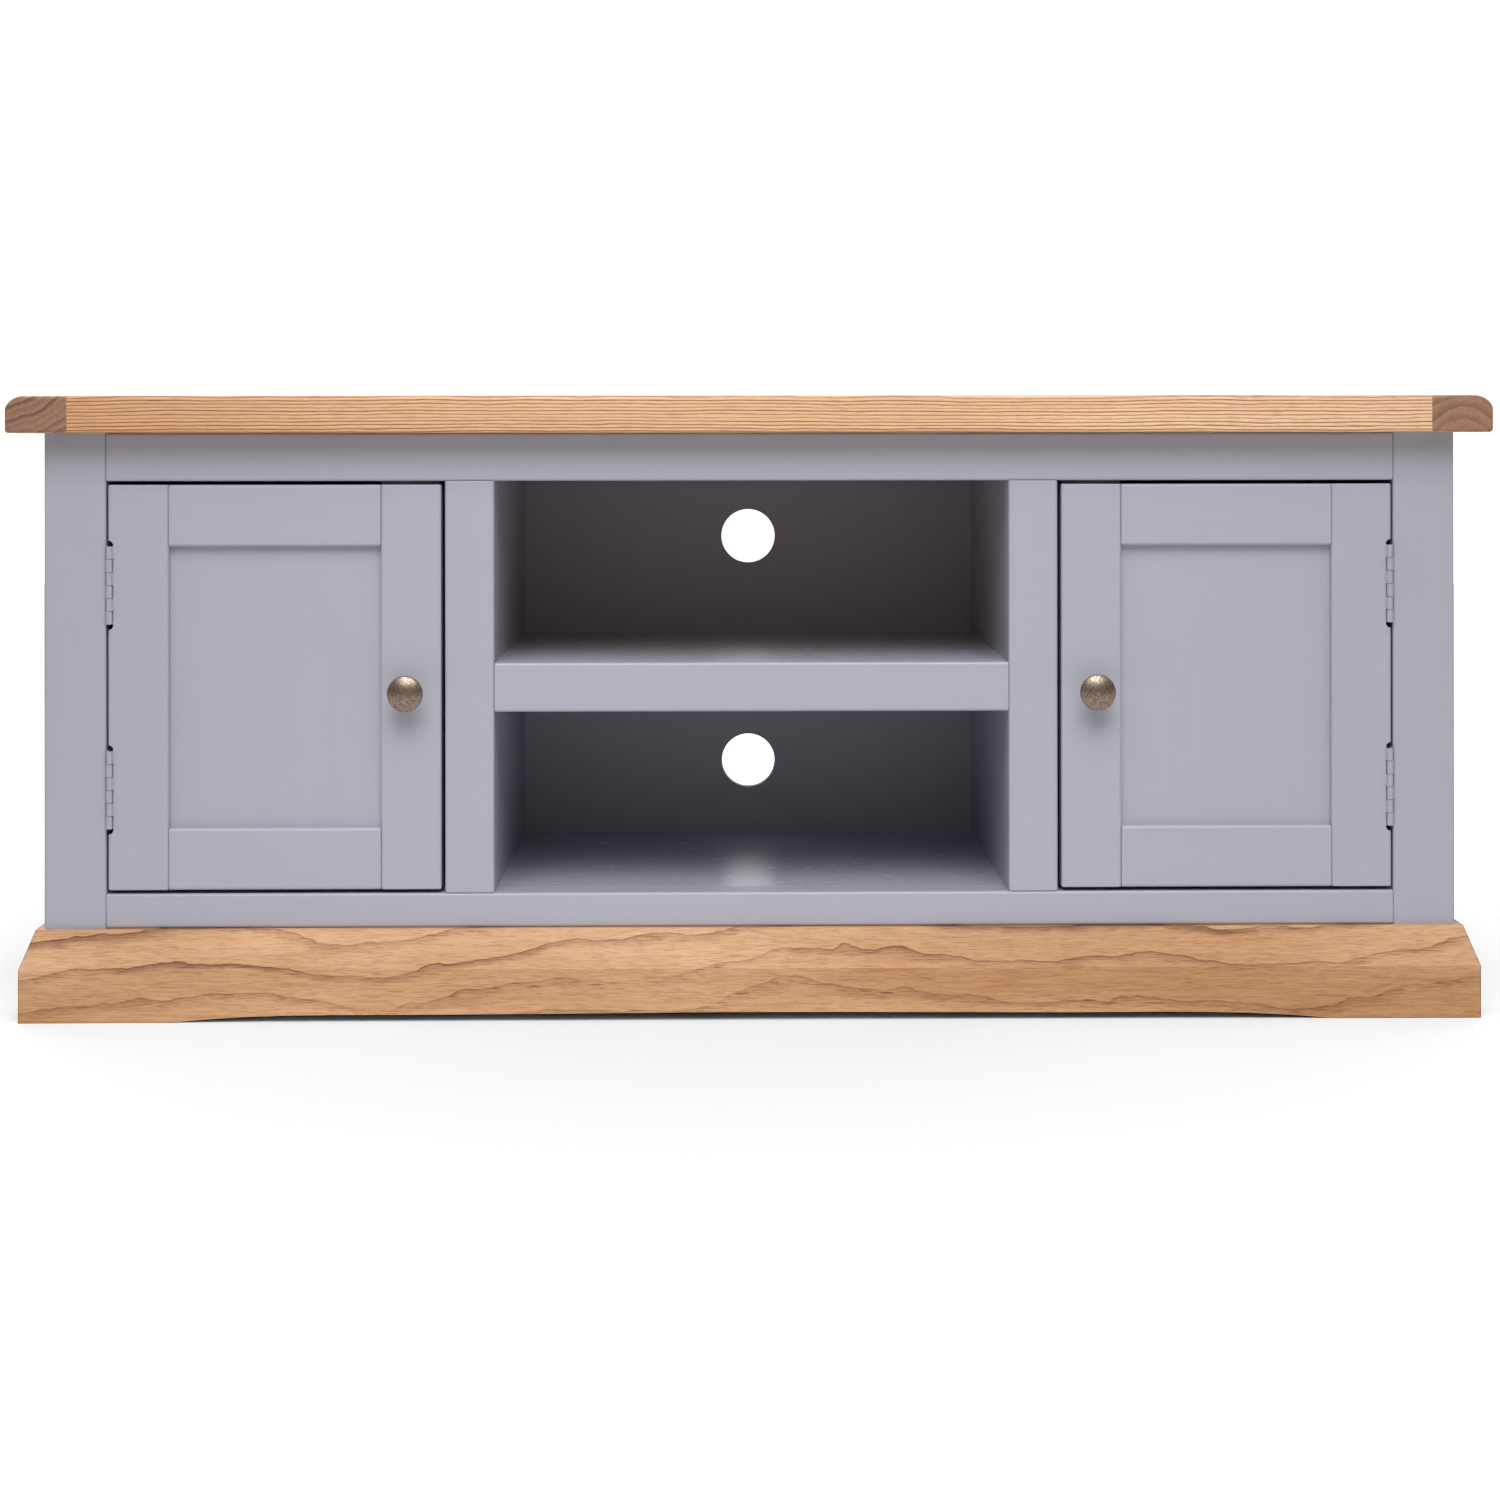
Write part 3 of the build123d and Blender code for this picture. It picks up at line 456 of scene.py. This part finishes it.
# The pith of each wood, across its grain and then up, mostly set out from the cabinet's edges.
TOP_PITH = (0.0, HIGH[2] - 0.150)
CAP_LEFT_PITH = (LOW[0] - 0.020, HIGH[2] + 0.075)
CAP_RIGHT_PITH = (HIGH[0] - 0.024, HIGH[2] - 0.046)
PLINTH_PITH_IN = 0.10
PLINTH_PITH_UP = LOW[2] + 0.24
PINE_PITH = (0.09, -0.06)

# The top grows darker from its middle towards its left end.
TOP_BOARD_WIDTH = 0.1
TOP_DEEPEST = LOW[0] - 0.05
TOP_MIDDLE = 0.0

MATERIALS = {
    "oak_top": ring_wood(
        "oak_top", "X", OAK, TOP_PITH, 0.0026,
        ((0.0075, 3.2, 5.0), (0.0036, 9.0, 45.0), (0.0012, 34.0, 170.0)),
        line=0.17, band=0.46, contrast=1.25,
        boards=(TOP_BOARD_WIDTH, LOW[1]), deep=(TOP_DEEPEST, TOP_MIDDLE),
    ),
    "oak_cap_left": ring_wood(
        "oak_cap_left", "Y", CAP_LEFT, CAP_LEFT_PITH, 0.0058,
        ((0.008, 4.0, 30.0), (0.0035, 14.0, 90.0), (0.0016, 30.0, 300.0)),
        line=0.15, band=0.8,
    ),
    "oak_cap_right": ring_wood(
        "oak_cap_right", "Y", CAP_RIGHT, CAP_RIGHT_PITH, 0.0085,
        ((0.010, 4.0, 34.0), (0.0035, 14.0, 120.0), (0.0012, 30.0, 300.0)),
        line=0.08, band=0.8, contrast=0.45,
    ),
    "plinth_x": plinth_wood("plinth_x", "X", (LOW[1] + PLINTH_PITH_IN, PLINTH_PITH_UP)),
    "plinth_y": plinth_wood("plinth_y", "Y", (LOW[0] + PLINTH_PITH_IN, PLINTH_PITH_UP)),
    "pine": ring_wood(
        "pine", "X", PINE, PINE_PITH, 0.006, ((0.01, 2.5, 8.0),),
        line=0.3, band=0.8, contrast=0.6,
    ),
    "paint_x": paint("paint_x", "X", PAINT),
    "paint_y": paint("paint_y", "Y", PAINT),
    "paint_z": paint("paint_z", "Z", PAINT),
    # The bays' side walls, in a darker copy of the paint as painted shade.
    "shaded_inner_y": paint("shaded_inner_y", "Y", SHADED_INNER, rough=0.32, dents=0.05),
    # The shelf, floor and back top rail, in a lighter copy of the paint as painted light.
    "lit_inner_x": paint("lit_inner_x", "X", LIT_SHELF, rough=0.24, dents=0.015),
    "back": paint("back", "Z", BACK, rough=0.45, streak=0.7),
    "hinge": paint("hinge", "Z", HINGE, rough=0.34),
    "brass": metal("brass", srgb(172, 152, 134), srgb(112, 96, 84), 0.25, stain=0.85, grain=620.0, worn=0.2),
    "zinc": metal("zinc", srgb(205, 203, 196), srgb(150, 148, 140), 0.28, stain=0.5, grain=500.0),
    "steel": metal("steel", srgb(190, 190, 190), srgb(120, 118, 116), 0.25, stain=0.4, grain=400.0),
    "magnet": metal("magnet", srgb(120, 120, 122), srgb(70, 70, 72), 0.4, stain=0.6, grain=600.0),
    "plastic": plastic("plastic", srgb(226, 224, 216)),
}

# The material of a node by its name, or else by how its name ends.
BY_NAME = {
    "top_panel": "oak_top",
    "top_end_left": "oak_cap_left",
    "top_end_right": "oak_cap_right",
    "top_cleats": "pine",
    "plinth_front": "plinth_x",
    "plinth_left": "plinth_y",
    "plinth_right": "plinth_y",
    "plinth_back": "pine",
    "plinth_corner_blocks": "pine",
    "back_panel": "back",
    "partition_left": "shaded_inner_y",
    "partition_right": "shaded_inner_y",
    "top_rail_back": "lit_inner_x",
    "floor_panel": "lit_inner_x",
    "shelf_board": "lit_inner_x",
    "hinge_pins": "steel",
    "catch_magnets": "magnet",
}
BY_ENDING = {
    "screws": "zinc",
    "knob_bolt": "zinc",
    "knob": "brass",
    "strike_plate": "steel",
    "leaves": "hinge",
    "catch_housing": "plastic",
}
UPRIGHTS = ("stile", "post", "door_panel", "side_panel")  # painted, with their grain upright


def material_for(node):
    """Which of the materials a CAD node takes: its own, its kind's, or paint along its grain."""
    if node in BY_NAME:
        return BY_NAME[node]
    for ending, material in BY_ENDING.items():
        if node.endswith(ending):
            return material
    if any(word in node for word in UPRIGHTS):
        return "paint_z"
    if node.startswith("side_rail"):
        return "paint_y"
    return "paint_x"


for name, node in NODES.items():
    node.data.materials.clear()
    node.data.materials.append(MATERIALS[material_for(name)])


# ---- the studio -----------------------------------------------------------------------------------------
FLOOR_RADIUS = 7.0
FLOOR_SPECKS = 40

# How bright the white walls are: all round, what is added overhead and behind, and for the camera.
ALL_ROUND = 0.20
OVERHEAD = 0.50
BEHIND = 0.85
SEEN = 1.15


def studio_floor():
    """A plain white floor that shows only the object's shadow against the white studio."""
    graph = Surface("studio_floor")
    speck = graph.even(graph.split("Object"), FLOOR_SPECKS, detail=3.0)
    tint = graph.mix(speck, srgb(236, 236, 237), srgb(240, 240, 241))
    material = graph.finish(tint, 0.75)
    bpy.ops.mesh.primitive_circle_add(vertices=96, radius=FLOOR_RADIUS, fill_type="NGON")
    floor = bpy.context.object
    floor.name = "studio_floor"
    floor.data.materials.append(material)
    floor.is_shadow_catcher = True


def softbox(name, place, aim, size, power, spread):
    """A rectangular soft light of that width and height, pointed at aim."""
    light = bpy.data.lights.new(name, "AREA")
    light.shape = "RECTANGLE"
    light.size, light.size_y = size
    light.energy = power
    light.spread = spread
    lamp = bpy.data.objects.new(name, light)
    lamp.location = place
    right, ahead, up = (end - start for end, start in zip(aim, place))
    tilt = math.atan2(up, math.hypot(right, ahead))
    lamp.rotation_euler = (math.pi / 2 + tilt, 0.0, math.atan2(-right, ahead))
    bpy.context.scene.collection.objects.link(lamp)


def studio_walls():
    """White all round for the camera. For the light: dim ahead, brighter above and bright behind."""
    world = bpy.data.worlds.new("white_studio")
    world.use_nodes = True
    graph = Graph(world.node_tree)
    background = graph.node("ShaderNodeBackground")
    output = graph.node("ShaderNodeOutputWorld")
    graph.tree.links.new(background.outputs[0], output.inputs["Surface"])
    y, z = graph.split("Generated")[1:]
    seen = Field(graph, graph.node("ShaderNodeLightPath").outputs["Is Camera Ray"])
    level = z.step(0.15, 0.85) * OVERHEAD + y.step(0.3, 0.95) * BEHIND + ALL_ROUND
    background.inputs["Color"].default_value = (1.0, 1.0, 1.0, 1.0)
    graph.feed(background.inputs["Strength"], level * (1.0 - seen) + seen * SEEN)
    bpy.context.scene.world = world


def studio():
    studio_floor()
    studio_walls()
    softbox(
        "key",
        place=(0.0, -1.55, 1.95),
        aim=(0.0, -0.1, 0.25),
        size=(1.8, 1.5),
        power=7.5,
        spread=math.radians(66),
    )
    view = bpy.context.scene.view_settings
    view.view_transform = "Standard"
    view.look = "None"


# ---- the camera -----------------------------------------------------------------------------------------
# The lens and its sensor in millimetres, and the picture's shift in sensor widths.
LENS = 68.1
SENSOR_WIDTH = 36.0
SHIFT = (-0.0117, -0.2083)

# How far the eye is left of the middle, ahead of the top's front edge and below the top's face, and
# how far it is rolled and turned, in radians.
EYE_LEFT = 0.0226
EYE_AHEAD = 2.285
EYE_BELOW = 0.034
ROLL = 0.0009
TURN = -0.0154


def camera():
    """A level camera a little left of centre, just under the height of the top."""
    data = bpy.data.cameras.new("camera")
    data.lens = LENS
    data.sensor_width = SENSOR_WIDTH
    data.shift_x, data.shift_y = SHIFT
    eye = bpy.data.objects.new("camera", data)
    middle = (LOW[0] + HIGH[0]) / 2
    eye.location = (middle - EYE_LEFT, LOW[1] - EYE_AHEAD, HIGH[2] - EYE_BELOW)
    eye.rotation_euler = (math.pi / 2, ROLL, TURN)
    bpy.context.scene.collection.objects.link(eye)
    bpy.context.scene.camera = eye


camera()
studio()
